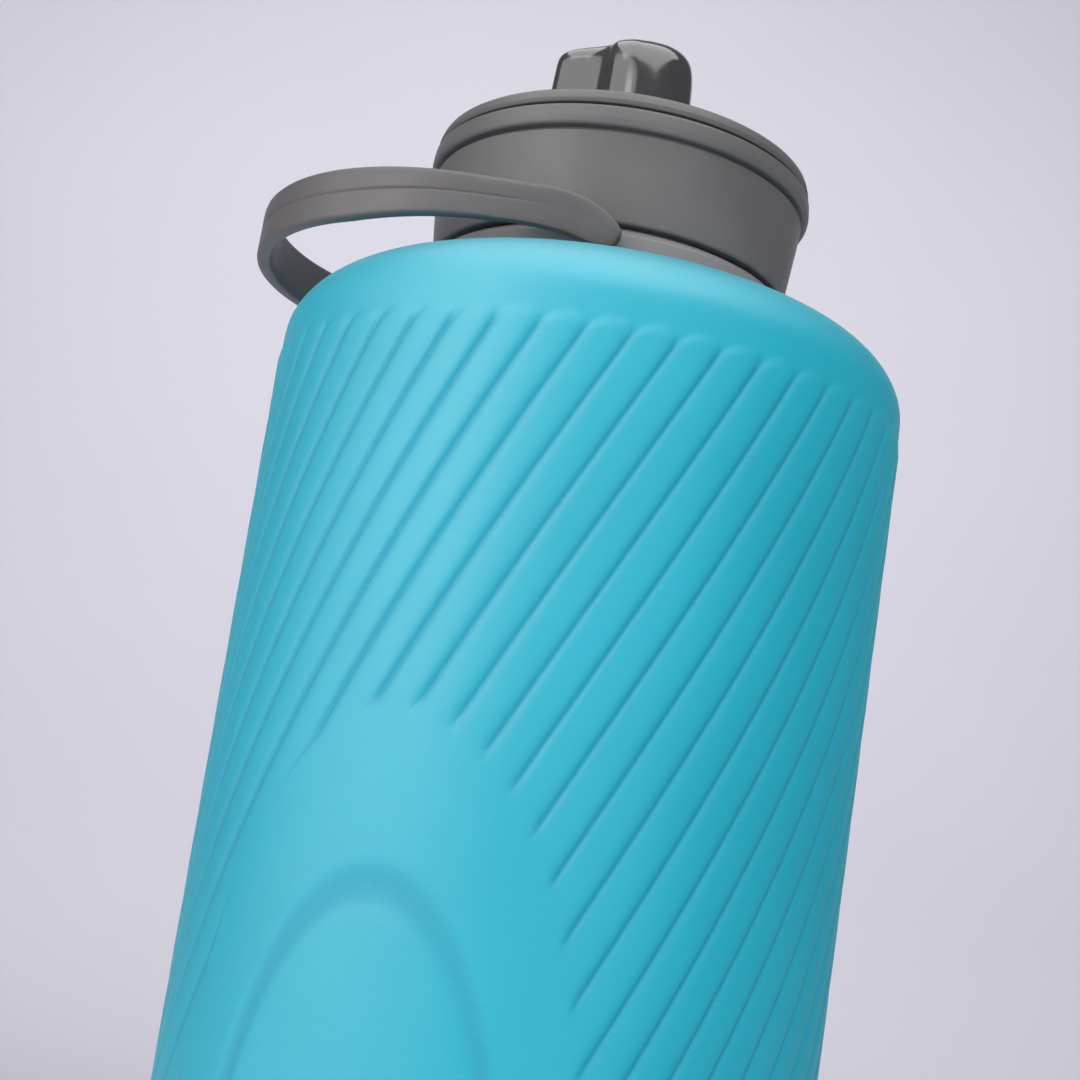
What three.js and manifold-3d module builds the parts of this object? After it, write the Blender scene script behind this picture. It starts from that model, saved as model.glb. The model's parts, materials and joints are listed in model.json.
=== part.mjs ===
// Collapsible soft water bottle: a ribbed flexible body, a rigid threaded neck,
// a swivelling bail handle, a screw cap and a twist-open drinking spout.
// Millimetres, +Z up, origin at the centre of the base.
import * as THREE from 'three';
import { mergeVertices } from 'three/addons/utils/BufferGeometryUtils.js';
import Module from 'manifold-3d';

// ---------------------------------------------------------------- driving dimensions
const SKIRT = 272.5; // height of the cap skirt's lower edge above the ground
const GAP = 0.3; // clearance between pieces that meet
const CHAMFER = 0.5; // on the exposed edges of the rings
const EMBED = 0.2; // how far a thread ridge is sunk into the wall that carries it

const BODY = {
  footRadius: 31.5,
  footCorner: 10,
  lowRadius: 41.4, // outer radius just above the rounded foot
  topRadius: 44.5, // outer radius just under the shoulder
  shoulderEnd: SKIRT - 18.6, // where the shoulder meets the straight wall
  deck: SKIRT - 6.2, // flat ring round the neck
  deckRadius: 29,
  shoulderRise: 7.4, // how far the bezier handles of the shoulder reach up, out and down
  shoulderRun: 10,
  shoulderDrop: 0.4,
  neckHole: 24.9,
  wall: 1.2,
};

const NECK = {
  bore: 18.6,
  tube: 21.3,
  flange: 29,
  flangeBottom: SKIRT - 9.7,
  flangeTop: SKIRT - 7.8,
  root: 24.5,
  rootTop: SKIRT - 5.35,
  bead: 23.2,
  beadBottom: SKIRT - 0.45,
  beadTop: SKIRT + 0.45,
  lip: SKIRT + 10.5,
};

const THREAD = {
  lead: 6,
  starts: 2,
  sweep: 360,
  height: 1.6,
  halfRoot: 0.75,
  halfCrest: 0.4,
  runout: 25, // degrees over which each end fades out
  stub: 0.15, // share of its height that a ridge still has at its very end
  bottom: SKIRT + 2.5,
};

const COLLAR = {
  bore: 21.7,
  radius: 26,
  bottom: SKIRT - 5,
  top: SKIRT - 0.75,
  bossSunk: 1.5, // how far each boss starts inside the ring
};

const STRAP = {
  pivotX: -1.2,
  pivotZ: SKIRT - 3,
  thickness: 2,
  halfWidth: 29.2, // from the bottle's axis to the middle of each arm
  arm: 19.1, // straight length, pivot to the start of the round end
  overrun: 4, // how far the plan runs past the pivot, to be trimmed by the side view
  bottom: SKIRT - 4.4,
  top: SKIRT + 2,
  pin: 1,
  boss: 1.9,
  pinInset: 0.8, // from the pin's end to the arm's outer face
  socketFloor: 0.5, // material left behind each blind pin socket
  eye: 2.05, // radius of the root below and behind the pivot
  eyeFront: 2.4,
  curlStart: 7, // from the pivot back to where the upper edge turns down
  tuckStart: 14, // and to where the lower edge turns up
  tuckRise: 1.2, // height of that turn's bezier handle
};

const CAP = {
  skirtRadius: 25.7,
  beadRadius: 27.9,
  wallRadius: 23.7, // inside face that carries the thread
  neckline: SKIRT + 12.4, // where the skirt meets the bead
  crown: SKIRT + 12.3, // underside of the top disc
  discTop: SKIRT + 15.2,
  flowHole: 4.2,
  pocketRadius: 10.8,
  pocketFloor: SKIRT + 13.8,
  flare: 1.3, // how much wider the skirt is at the bead
  lip: 1, // height of the straight edge at the skirt's mouth
  lipFlare: 0.1,
  beadRound: 0.4, // how far the bead's edges are rounded in
  beadFoot: 0.2, // heights above the neckline where the bead starts,
  beadLow: 0.9, // reaches its full radius
  beadHigh: 1.9, // and leaves it
  leadIn: 0.4, // bevel at the mouth of the thread
};

const DECK = { radius: 26.8, rim: 27.5, bottom: SKIRT + 15.5, top: SKIRT + 17.55, hole: 5.7 };

const STEM = {
  radius: 5.2,
  bore: 3.7,
  flange: 10.4,
  flangeBottom: SKIRT + 14.1,
  flangeTop: SKIRT + 15.2,
  top: SKIRT + 27,
  ribBottom: SKIRT + 20,
  ribWidth: 1.4,
  pin: 1.8,
  headRadius: 3.1,
  headBottom: SKIRT + 29,
  headTop: SKIRT + 31.2,
};

const CAM = {
  lead: 12,
  turn: 90,
  lug: 50,
  bottom: SKIRT + 24.6,
  half: 0.6,
  crest: 6,
  play: 0.35,
  slack: 4, // degrees of free play at each end of the slot
};

const KNOB = {
  bottom: SKIRT + 18,
  top: SKIRT + 36.2,
  core: 7.9, // radius in the valleys between the finger lobes
  blend: 14, // how sharply the core and the lobes meet
  lobes: [
    { angle: 178, reach: 8.6, radius: 4.7 },
    { angle: -72, reach: 4.7, radius: 6.7 },
    { angle: 72, reach: 4.7, radius: 6.7 },
  ],
  tuck: SKIRT + 24.6, // below this the long lobe steps back
  tuckRadius: 12.3,
  draft: 0.075, // straight narrowing towards the top
  dome: 0.245, // extra narrowing where the top rounds over
  domeTurn: 16, // the higher, the later and tighter the top rounds over
  bore: 5.6,
  roof: SKIRT + 28.3,
  outlet: 3.4,
  flareBottom: SKIRT + 33,
  flare: 4.6,
};

const RING = { radius: 6.15, section: 0.55, height: SKIRT + 19.5, groove: 7, grooveHalf: 0.75 };
const GASKET = { inner: 18.9, outer: 23.1, bottom: SKIRT + 10.8, top: SKIRT + 12 };

const SIDES = 48; // facets round the bottle
const SMALL_SIDES = 24; // facets round the spout
const PIN_SIDES = 20;
const HELIX_STEP = 12; // degrees
const KNOB_CORNERS = 54;
const KNOB_LEVELS = 10;
const WALL_POINTS = 5; // on each curve of the body's wall
const BAIL_SEGMENTS = 28; // on the bail's round end
const CURL_SEGMENTS = 8; // on each curve of its root
const RING_SIDES = 8; // round the O-ring's section
const WELD = 1e-4; // vertices nearer than this are one
const TAU = 2 * Math.PI;
const rad = THREE.MathUtils.degToRad;

// ---------------------------------------------------------------- solids
const wasm = await Module();
wasm.setup();

function toSolid(geometry) {
  const bare = geometry.clone();
  bare.deleteAttribute('normal');
  bare.deleteAttribute('uv');
  const merged = mergeVertices(bare, WELD);
  const vertProperties = new Float32Array(merged.attributes.position.array);
  const triVerts = new Uint32Array(merged.index.array);
  return new wasm.Manifold(new wasm.Mesh({ numProp: 3, vertProperties, triVerts }));
}

function toGeometry(solid) {
  const mesh = solid.getMesh();
  const geometry = new THREE.BufferGeometry();
  geometry.setAttribute('position', new THREE.BufferAttribute(mesh.vertProperties, 3));
  geometry.setIndex(new THREE.BufferAttribute(mesh.triVerts, 1));
  geometry.computeVertexNormals();
  return geometry;
}

// A solid of revolution about Z from a list of [radius, height] corners.
// A profile that doesn't start on the axis is closed on itself.
function revolve(profile, sides = SIDES) {
  const points = profile.map(([r, z]) => new THREE.Vector2(r, z));
  if (profile[0][0] > 0) points.push(points[0].clone());
  const geometry = new THREE.LatheGeometry(points, sides);
  geometry.rotateX(Math.PI / 2);
  return toSolid(geometry);
}

// A round bar along Z between two heights.
function bar(radius, bottom, top, sides = SMALL_SIDES) {
  const geometry = new THREE.CylinderGeometry(radius, radius, top - bottom, sides);
  geometry.rotateX(Math.PI / 2);
  geometry.translate(0, 0, (bottom + top) / 2);
  return toSolid(geometry);
}

// A trapezoid section wound round Z as a right-handed screw ridge or groove.
// Its base is at radius `base`, its crest at radius `crest`; the ends run out to the base.
function helix({ base, crest, halfBase, halfCrest, lead, start, sweep, bottom, runout = 0 }) {
  const section = new THREE.Shape();
  section.moveTo(base, -halfBase);
  section.lineTo(crest, -halfCrest);
  section.lineTo(crest, halfCrest);
  section.lineTo(base, halfBase);
  section.closePath();
  const steps = Math.ceil(sweep / HELIX_STEP);
  const geometry = new THREE.ExtrudeGeometry(section, { depth: 1, steps, bevelEnabled: false });
  const place = geometry.attributes.position;
  for (let i = 0; i < place.count; i += 1) {
    const turned = place.getZ(i) * sweep;
    const nearEnd = Math.min(turned, sweep - turned);
    const height = runout ? Math.min(1, THREAD.stub + nearEnd / runout) : 1;
    const radius = base + (place.getX(i) - base) * height;
    const angle = rad(start + turned);
    const rise = (turned / 360) * lead;
    place.setXYZ(i, radius * Math.cos(angle), radius * Math.sin(angle), bottom + rise - place.getY(i));
  }
  return toSolid(geometry);
}

// ---------------------------------------------------------------- body shell
// Outer wall as radius at each height, offset inwards by `inset` for the inside face.
function wallCurve(inset) {
  const { footRadius, footCorner, lowRadius, topRadius, shoulderEnd, deck, deckRadius } = BODY;
  const { shoulderRise, shoulderRun, shoulderDrop } = BODY;
  const wall = new THREE.Path();
  wall.moveTo(footRadius, inset);
  wall.quadraticCurveTo(lowRadius - inset, inset, lowRadius - inset, footCorner + inset);
  wall.lineTo(topRadius - inset, shoulderEnd);
  wall.bezierCurveTo(
    topRadius - inset,
    shoulderEnd + shoulderRise,
    deckRadius + shoulderRun - inset,
    deck - shoulderDrop - inset,
    deckRadius,
    deck - inset,
  );
  return wall.getPoints(WALL_POINTS).map((p) => [p.x, p.y]);
}

function bodyShell() {
  const outside = wallCurve(0);
  const inside = wallCurve(BODY.wall).reverse();
  const rim = [
    [BODY.neckHole, BODY.deck],
    [BODY.neckHole, BODY.deck - BODY.wall],
  ];
  return revolve([[0, 0], ...outside, ...rim, ...inside, [0, BODY.wall]]);
}

// ---------------------------------------------------------------- neck
function neckInsert() {
  const tube = revolve([
    [NECK.bore, NECK.flangeBottom],
    [NECK.flange, NECK.flangeBottom],
    [NECK.flange, NECK.flangeTop],
    [NECK.root, NECK.flangeTop],
    [NECK.root, NECK.rootTop],
    [NECK.tube, NECK.rootTop],
    [NECK.tube, NECK.beadBottom],
    [NECK.bead, NECK.beadBottom],
    [NECK.bead, NECK.beadTop],
    [NECK.tube, NECK.beadTop + CHAMFER],
    [NECK.tube, NECK.lip - CHAMFER],
    [NECK.tube - CHAMFER, NECK.lip],
    [NECK.bore + CHAMFER, NECK.lip],
    [NECK.bore, NECK.lip - CHAMFER],
  ]);
  const ridges = threadRidges(NECK.tube - EMBED, NECK.tube + THREAD.height, THREAD.bottom);
  return ridges.reduce((a, b) => a.add(b), tube);
}

function threadRidges(base, crest, bottom) {
  const ridges = [];
  for (let i = 0; i < THREAD.starts; i += 1) {
    ridges.push(
      helix({
        base,
        crest,
        halfBase: THREAD.halfRoot,
        halfCrest: THREAD.halfCrest,
        lead: THREAD.lead,
        start: (360 / THREAD.starts) * i,
        sweep: THREAD.sweep,
        bottom,
        runout: THREAD.runout,
      }),
    );
  }
  return ridges;
}

// ---------------------------------------------------------------- handle
function handleCollar() {
  const { bore, radius, bottom, top, bossSunk } = COLLAR;
  let collar = revolve([
    [bore, bottom],
    [radius, bottom],
    [radius, top - CHAMFER],
    [radius - CHAMFER, top],
    [bore, top],
  ]);
  const bossRoot = radius - bossSunk;
  const bossReach = STRAP.halfWidth - STRAP.thickness / 2 - GAP;
  const pinReach = STRAP.halfWidth + STRAP.thickness / 2 - STRAP.pinInset;
  for (const side of [-1, 1]) {
    for (const [size, reach] of [[STRAP.boss, bossReach], [STRAP.pin, pinReach]]) {
      const boss = new THREE.CylinderGeometry(size, size, reach - bossRoot, PIN_SIDES);
      boss.translate(STRAP.pivotX, (side * (reach + bossRoot)) / 2, STRAP.pivotZ);
      collar = collar.add(toSolid(boss));
    }
  }
  return collar;
}

// The bail seen from above: two straight arms joined by a half circle.
function bailPlan() {
  const end = STRAP.pivotX + STRAP.overrun;
  const centre = STRAP.pivotX - STRAP.arm;
  const outer = STRAP.halfWidth + STRAP.thickness / 2;
  const inner = STRAP.halfWidth - STRAP.thickness / 2;
  const plan = new THREE.Shape();
  plan.moveTo(end, -outer);
  plan.lineTo(end, -inner);
  plan.lineTo(centre, -inner);
  plan.absarc(centre, 0, inner, -Math.PI / 2, Math.PI / 2, true);
  plan.lineTo(end, inner);
  plan.lineTo(end, outer);
  plan.lineTo(centre, outer);
  plan.absarc(centre, 0, outer, Math.PI / 2, (3 * Math.PI) / 2, false);
  plan.closePath();
  return plan;
}

// The bail seen from the side: a level band whose root curls down onto the pivot.
function bailSide() {
  const { pivotX, pivotZ, top, bottom, eye, eyeFront, curlStart, tuckStart, tuckRise } = STRAP;
  const farEnd = -2 * STRAP.halfWidth;
  const under = pivotZ - eye;
  const side = new THREE.Shape();
  side.moveTo(farEnd, bottom);
  side.lineTo(pivotX - tuckStart, bottom);
  side.quadraticCurveTo(pivotX - tuckStart / 2, bottom + tuckRise, pivotX - eyeFront * 1.5, under);
  side.lineTo(pivotX, under);
  side.quadraticCurveTo(pivotX + eyeFront, under, pivotX + eyeFront, pivotZ);
  side.quadraticCurveTo(pivotX + eyeFront / 4, top - GAP, pivotX - curlStart, top);
  side.lineTo(farEnd, top);
  side.closePath();
  return side;
}

// The bail is its plan and its side view, each drawn out past the other and intersected.
function handleStrap() {
  const height = 3 * (STRAP.top - STRAP.bottom);
  const plan = new THREE.ExtrudeGeometry(bailPlan(), {
    depth: height,
    bevelEnabled: false,
    curveSegments: BAIL_SEGMENTS,
  });
  plan.translate(0, 0, (STRAP.top + STRAP.bottom - height) / 2);
  const width = 3 * STRAP.halfWidth;
  const side = new THREE.ExtrudeGeometry(bailSide(), {
    depth: width,
    bevelEnabled: false,
    curveSegments: CURL_SEGMENTS,
  });
  side.rotateX(Math.PI / 2);
  side.translate(0, width / 2, 0);
  let strap = toSolid(plan).intersect(toSolid(side));
  const socketRadius = STRAP.pin + GAP;
  const socketDepth = STRAP.thickness - STRAP.socketFloor;
  const innerFace = STRAP.halfWidth - STRAP.thickness / 2;
  for (const face of [-1, 1]) {
    const socket = new THREE.CylinderGeometry(socketRadius, socketRadius, 2 * socketDepth, PIN_SIDES);
    socket.translate(STRAP.pivotX, face * innerFace, STRAP.pivotZ);
    strap = strap.subtract(toSolid(socket));
  }
  return strap;
}

// ---------------------------------------------------------------- cap
function capShell() {
  const { skirtRadius, beadRadius, wallRadius, neckline, crown, discTop, leadIn, beadRound } = CAP;
  const shell = revolve([
    [CAP.flowHole, crown],
    [wallRadius, crown],
    [wallRadius, SKIRT + 3 * leadIn],
    [wallRadius + leadIn, SKIRT],
    [skirtRadius, SKIRT],
    [skirtRadius + CAP.lipFlare, SKIRT + CAP.lip],
    [skirtRadius + CAP.flare, neckline],
    [beadRadius - beadRound, neckline + CAP.beadFoot],
    [beadRadius, neckline + CAP.beadLow],
    [beadRadius, neckline + CAP.beadHigh],
    [beadRadius - beadRound, discTop],
    [CAP.pocketRadius, discTop],
    [CAP.pocketRadius, CAP.pocketFloor],
    [CAP.flowHole, CAP.pocketFloor],
  ]);
  const pitch = THREAD.lead / THREAD.starts;
  const ridges = threadRidges(wallRadius + EMBED, wallRadius - THREAD.height, THREAD.bottom + pitch / 2);
  return ridges.reduce((a, b) => a.add(b), shell);
}

function capDeck() {
  const { radius, rim, bottom, top, hole } = DECK;
  return revolve([
    [hole, bottom],
    [rim, bottom],
    [rim, bottom + CHAMFER],
    [radius, top - CHAMFER],
    [radius - 2 * CHAMFER, top],
    [hole, top],
  ]);
}

function capGasket() {
  const { inner, outer, bottom, top } = GASKET;
  return revolve([[inner, bottom], [outer, bottom], [outer, top], [inner, top]]);
}

// ---------------------------------------------------------------- spout
function spoutStem() {
  const { radius, bore, flange, flangeBottom, flangeTop, top } = STEM;
  const profile = [
    [bore, flangeBottom],
    [flange, flangeBottom],
    [flange, flangeTop],
    [radius, flangeTop],
    [radius, top],
    [bore, top],
  ];
  let stem = revolve(profile, SMALL_SIDES);
  const ribSpan = radius + bore; // from the middle of one side of the tube wall to the other
  const rib = new THREE.BoxGeometry(STEM.ribWidth, ribSpan, top - STEM.ribBottom);
  rib.translate(0, 0, (top + STEM.ribBottom) / 2);
  const crossRib = rib.clone().rotateZ(Math.PI / 2);
  stem = stem.add(toSolid(rib)).add(toSolid(crossRib));
  stem = stem.add(bar(STEM.pin, STEM.ribBottom, STEM.headBottom + CHAMFER));
  stem = stem.add(bar(STEM.headRadius, STEM.headBottom, STEM.headTop));
  for (const lug of camTracks(CAM.lug, 0, CAM.half, radius - EMBED, CAM.crest)) stem = stem.add(lug);
  return stem;
}

// Two opposite helical tracks, each starting `before` degrees ahead of the lug's own start.
function camTracks(sweep, before, half, base, crest) {
  return [0, 180].map((start) =>
    helix({
      base,
      crest,
      halfBase: half,
      halfCrest: half,
      lead: CAM.lead,
      start: start - before,
      sweep,
      bottom: CAM.bottom - (before / 360) * CAM.lead,
    }),
  );
}

// How far the knob reaches from its axis: a round core blended with the circle of each lobe.
function knobReach(angle) {
  const { core, blend } = KNOB;
  let total = core ** blend;
  for (const lobe of KNOB.lobes) {
    const off = angle - rad(lobe.angle);
    const inside = lobe.radius ** 2 - (lobe.reach * Math.sin(off)) ** 2;
    const reach = inside > 0 ? lobe.reach * Math.cos(off) + Math.sqrt(inside) : 0;
    total += Math.max(reach, 0) ** blend;
  }
  return total ** (1 / blend);
}

// One long finger lobe and two broad ones.
function lobedOutline() {
  const outline = new THREE.Shape();
  for (let i = 0; i < KNOB_CORNERS; i += 1) {
    const angle = (i / KNOB_CORNERS) * TAU;
    const radius = knobReach(angle);
    const x = radius * Math.cos(angle);
    const y = radius * Math.sin(angle);
    if (i === 0) outline.moveTo(x, y);
    else outline.lineTo(x, y);
  }
  outline.closePath();
  return outline;
}

function twistKnob() {
  const height = KNOB.top - KNOB.bottom;
  const blank = new THREE.ExtrudeGeometry(lobedOutline(), {
    depth: height,
    steps: KNOB_LEVELS,
    bevelEnabled: false,
  });
  const place = blank.attributes.position;
  for (let i = 0; i < place.count; i += 1) {
    const level = place.getZ(i) / height;
    const taper = 1 - KNOB.draft * level - KNOB.dome * level ** KNOB.domeTurn;
    place.setXYZ(i, place.getX(i) * taper, place.getY(i) * taper, KNOB.bottom + place.getZ(i));
  }
  const bore = revolve(
    [
      [0, KNOB.bottom - 1],
      [KNOB.bore, KNOB.bottom - 1],
      [KNOB.bore, RING.height - RING.grooveHalf],
      [RING.groove, RING.height - RING.grooveHalf],
      [RING.groove, RING.height + RING.grooveHalf],
      [KNOB.bore, RING.height + RING.grooveHalf],
      [KNOB.bore, KNOB.roof],
      [KNOB.outlet, KNOB.roof],
      [KNOB.outlet, KNOB.flareBottom],
      [KNOB.flare, KNOB.top + 0.01],
      [KNOB.flare, KNOB.top + 1],
      [0, KNOB.top + 1],
    ],
    SMALL_SIDES,
  );
  const tuck = new THREE.BoxGeometry(KNOB.core, 2 * KNOB.core, 2 * (KNOB.tuck - KNOB.bottom));
  tuck.translate(-KNOB.tuckRadius - KNOB.core / 2, 0, KNOB.bottom);
  let knob = toSolid(blank).subtract(bore).subtract(toSolid(tuck));
  const sweep = CAM.turn + CAM.lug + 2 * CAM.slack;
  const half = CAM.half + CAM.play;
  const slots = camTracks(sweep, CAM.turn + CAM.slack, half, KNOB.bore - EMBED, CAM.crest + CAM.play);
  for (const slot of slots) knob = knob.subtract(slot);
  return knob;
}

function stemRing() {
  const ring = new THREE.TorusGeometry(RING.radius, RING.section, RING_SIDES, SMALL_SIDES);
  ring.translate(0, 0, RING.height);
  return toSolid(ring);
}

// ---------------------------------------------------------------- assembly
const softBlue = { color: 0x4fb6cc, roughness: 0.55, metalness: 0 };
const mattGrey = { color: 0x6f6b6b, roughness: 0.6, metalness: 0 };
const glossGrey = { color: 0x4c4b4c, roughness: 0.25, metalness: 0 };
const neckGrey = { color: 0x8c8a8a, roughness: 0.5, metalness: 0 };
const sealRubber = { color: 0x2c2b2d, roughness: 0.8, metalness: 0 };

const pieces = [
  ['body_shell', bodyShell(), softBlue],
  ['neck_insert', neckInsert(), neckGrey],
  ['handle_collar', handleCollar(), mattGrey],
  ['handle_strap', handleStrap(), mattGrey],
  ['cap_gasket', capGasket(), sealRubber],
  ['cap_shell', capShell(), mattGrey],
  ['cap_deck', capDeck(), mattGrey],
  ['spout_stem', spoutStem(), neckGrey],
  ['stem_o_ring', stemRing(), sealRubber],
  ['twist_knob', twistKnob(), glossGrey],
];

const bottle = new THREE.Group();
for (const [name, solid, finish] of pieces) {
  const mesh = new THREE.Mesh(toGeometry(solid), new THREE.MeshStandardMaterial(finish));
  mesh.name = name;
  bottle.add(mesh);
}

export default bottle;
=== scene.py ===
# A collapsible soft water bottle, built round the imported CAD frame.
# Shapes are worked out in millimetres in the frame's own axes and scaled to metres
# when a mesh is made. SKIRT, the level of the cap skirt's lower edge, is the level that
# the parts round the neck are measured from.
import json
import math

import bpy
import numpy as np
from mathutils import Matrix, Vector


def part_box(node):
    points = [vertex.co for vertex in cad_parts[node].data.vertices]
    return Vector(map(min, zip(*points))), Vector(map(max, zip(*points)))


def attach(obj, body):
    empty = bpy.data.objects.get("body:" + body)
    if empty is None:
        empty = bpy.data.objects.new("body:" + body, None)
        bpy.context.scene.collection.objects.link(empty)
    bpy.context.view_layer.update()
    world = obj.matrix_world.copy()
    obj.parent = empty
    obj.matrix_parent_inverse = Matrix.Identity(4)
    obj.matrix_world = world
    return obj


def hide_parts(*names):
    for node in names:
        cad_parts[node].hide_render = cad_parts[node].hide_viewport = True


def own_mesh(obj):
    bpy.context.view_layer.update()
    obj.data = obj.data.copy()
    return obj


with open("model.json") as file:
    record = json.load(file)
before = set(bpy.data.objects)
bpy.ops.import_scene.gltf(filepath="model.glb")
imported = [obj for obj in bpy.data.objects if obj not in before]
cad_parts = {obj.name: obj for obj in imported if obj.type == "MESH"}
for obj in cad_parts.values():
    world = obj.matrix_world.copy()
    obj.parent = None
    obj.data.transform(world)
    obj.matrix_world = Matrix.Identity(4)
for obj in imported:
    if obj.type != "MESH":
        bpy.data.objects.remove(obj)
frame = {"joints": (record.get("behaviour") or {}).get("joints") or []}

MM = 0.001
TAU = 2 * math.pi
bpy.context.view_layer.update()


def heights(node):
    """Lowest and highest level of a CAD node, in millimetres."""
    low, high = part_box(node)
    return low.z / MM, high.z / MM


def reach(node):
    """How far a round CAD node reaches along +X, in millimetres."""
    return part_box(node)[1].x / MM


SKIRT, CAP_TOP = heights("cap_shell")  # the cap's lower edge and the top of its bead
DECK_BOTTOM, DECK_TOP = heights("cap_deck")
SHELL_TOP = heights("body_shell")[1]
BODY_RADIUS = reach("body_shell")
COLLAR_BOTTOM, COLLAR_TOP = heights("handle_collar")
NECK_BOTTOM, NECK_LIP = heights("neck_insert")
KNOB_BOTTOM, KNOB_TOP = heights("twist_knob")
STEM_BOTTOM, STEM_TOP = heights("spout_stem")
FLIP = next(j for j in frame["joints"] if j["name"] == "handle_flip")
PIVOT = [value / MM for value in FLIP["pos_m"]]


# ---------------------------------------------------------------- camera
CAMERA_PITCH = 11.3  # degrees upwards
CAMERA_ROLL = 8.89  # degrees
CAMERA_LENS = 57.43  # on a sensor 36 mm wide
CAMERA_PLACE = (-3.82, -239.7, SKIRT - 86.5)


def place_camera():
    """Low, close and looking up, so that the bottle leans to the right in the picture."""
    pitch = math.radians(CAMERA_PITCH)
    roll = math.radians(CAMERA_ROLL)
    level_up = Vector((0, -math.sin(pitch), math.cos(pitch)))
    forward = Vector((0, math.cos(pitch), math.sin(pitch)))
    side = Vector((1, 0, 0))
    right = side * math.cos(roll) + level_up * math.sin(roll)
    up = level_up * math.cos(roll) - side * math.sin(roll)
    data = bpy.data.cameras.new("camera")
    data.sensor_width = 36
    data.lens = CAMERA_LENS
    camera = bpy.data.objects.new("camera", data)
    bpy.context.collection.objects.link(camera)
    turn = Matrix((right, up, -forward)).transposed()
    camera.matrix_world = Matrix.Translation(Vector(CAMERA_PLACE) * MM) @ turn.to_4x4()
    bpy.context.scene.camera = camera


place_camera()


# ---------------------------------------------------------------- mesh building
LATHE_SIDES = 192
FILLET_STEPS = 5
FILLET_LIMIT = 0.48  # the most of an edge that a fillet at one of its ends may take
RIDGE_STEP = 3  # degrees between a screw ridge's sections
RIDGE_STUB = 0.15  # share of its height that a ridge still has at its very end
RIDGE_SOFT = 0.15  # how far in and along the edges of a ridge's crest are softened
RIDGE_SOFT_UP = 0.1
RIDGE_SOFT_DOWN = 0.08


def make_mesh(name, points, faces, sharp=32.0):
    """A smooth-shaded object from points in millimetres; edges past `sharp` degrees stay hard."""
    mesh = bpy.data.meshes.new(name)
    mesh.from_pydata((np.asarray(points) * MM).tolist(), [], faces)
    mesh.validate()
    mesh.shade_smooth()
    mesh.set_sharp_from_angle(angle=math.radians(sharp))
    obj = bpy.data.objects.new(name, mesh)
    bpy.context.collection.objects.link(obj)
    return obj


def ring_faces(count, sides, closed=False):
    """Quads between successive rings; closed joins the last ring to the first."""
    faces = []
    for row in range(count if closed else count - 1):
        a = row * sides
        b = ((row + 1) % count) * sides
        for k in range(sides):
            n = (k + 1) % sides
            faces.append((a + k, a + n, b + n, b + k))
    return faces


def from_rings(rings, closed=False, start=None, end=None):
    """Points and faces of a skin through equal rings, with optional end points on the axis."""
    sides = len(rings[0])
    points = list(np.concatenate(rings))
    faces = ring_faces(len(rings), sides, closed)
    last = (len(rings) - 1) * sides
    for tip, row, forward in ((start, 0, False), (end, last, True)):
        if tip is None:
            continue
        points.append(np.array(tip, float))
        apex = len(points) - 1
        for k in range(sides):
            n = (k + 1) % sides
            faces.append((row + k, row + n, apex) if forward else (row + n, row + k, apex))
    return points, faces


def circle(radius, z, sides):
    angle = np.arange(sides) / sides * TAU
    return np.stack([radius * np.cos(angle), radius * np.sin(angle), np.full(sides, float(z))], 1)


def rounded(corners):
    """A closed profile from (radius, height, fillet) corners, with its fillets as arcs."""
    points = [np.array(c[:2], float) for c in corners]
    profile = []
    for i, corner in enumerate(corners):
        fillet = corner[2] if len(corner) > 2 else 0
        here, back, ahead = points[i], points[i - 1], points[(i + 1) % len(points)]
        if fillet <= 0:
            profile.append(here)
            continue
        back_length = np.linalg.norm(back - here)
        ahead_length = np.linalg.norm(ahead - here)
        u = (back - here) / back_length
        v = (ahead - here) / ahead_length
        half = math.acos(np.clip(np.dot(u, v), -1, 1)) / 2
        run = min(fillet / math.tan(half), FILLET_LIMIT * min(back_length, ahead_length))
        middle = (u + v) / np.linalg.norm(u + v)
        centre = here + middle * run / math.cos(half)
        start, stop = here + u * run, here + v * run
        size = np.linalg.norm(start - centre)
        for step in range(FILLET_STEPS + 1):
            share = step / FILLET_STEPS
            spoke = (start - centre) * (1 - share) + (stop - centre) * share
            profile.append(centre + spoke / np.linalg.norm(spoke) * size)
    return profile


def lathe(corners, sides=LATHE_SIDES):
    """Points and faces of a solid turned about Z from a closed, counter-clockwise profile."""
    rings = [circle(r, z, sides) for r, z in rounded(corners)]
    return from_rings(rings, closed=True)


def wound_ridge(base, crest, half_base, half_crest, lead, start, sweep, bottom, runout=25.0):
    """A screw ridge round Z with softened crest edges, running out at both ends."""
    steps = int(sweep / RIDGE_STEP)
    side = 1 if crest > base else -1
    soft = RIDGE_SOFT * side
    section = [
        (base, -half_base),
        (crest - soft, -half_crest - RIDGE_SOFT_DOWN),
        (crest, -half_crest + RIDGE_SOFT_UP),
        (crest, half_crest - RIDGE_SOFT_UP),
        (crest - soft, half_crest + RIDGE_SOFT_DOWN),
        (base, half_base),
    ]
    if side < 0:
        section.reverse()
    rings = []
    for step in range(steps + 1):
        turned = sweep * step / steps
        grow = min(1.0, RIDGE_STUB + min(turned, sweep - turned) / runout)
        angle = math.radians(start + turned)
        rise = turned / 360 * lead
        ring = []
        for r, z in section:
            radius = base + (r - base) * grow
            ring.append((radius * math.cos(angle), radius * math.sin(angle), bottom + rise + z))
        rings.append(np.array(ring))
    points, faces = from_rings(rings)
    faces = [tuple(reversed(f)) for f in faces]
    faces.append(tuple(range(len(section))))
    last = len(rings) * len(section)
    faces.append(tuple(reversed(range(last - len(section), last))))
    return points, faces


def merged(*parts):
    """Several points-and-faces parts as one."""
    points, faces = [], []
    for part_points, part_faces in parts:
        shift = len(points)
        points.extend(part_points)
        faces.extend(tuple(i + shift for i in f) for f in part_faces)
    return points, faces


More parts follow.
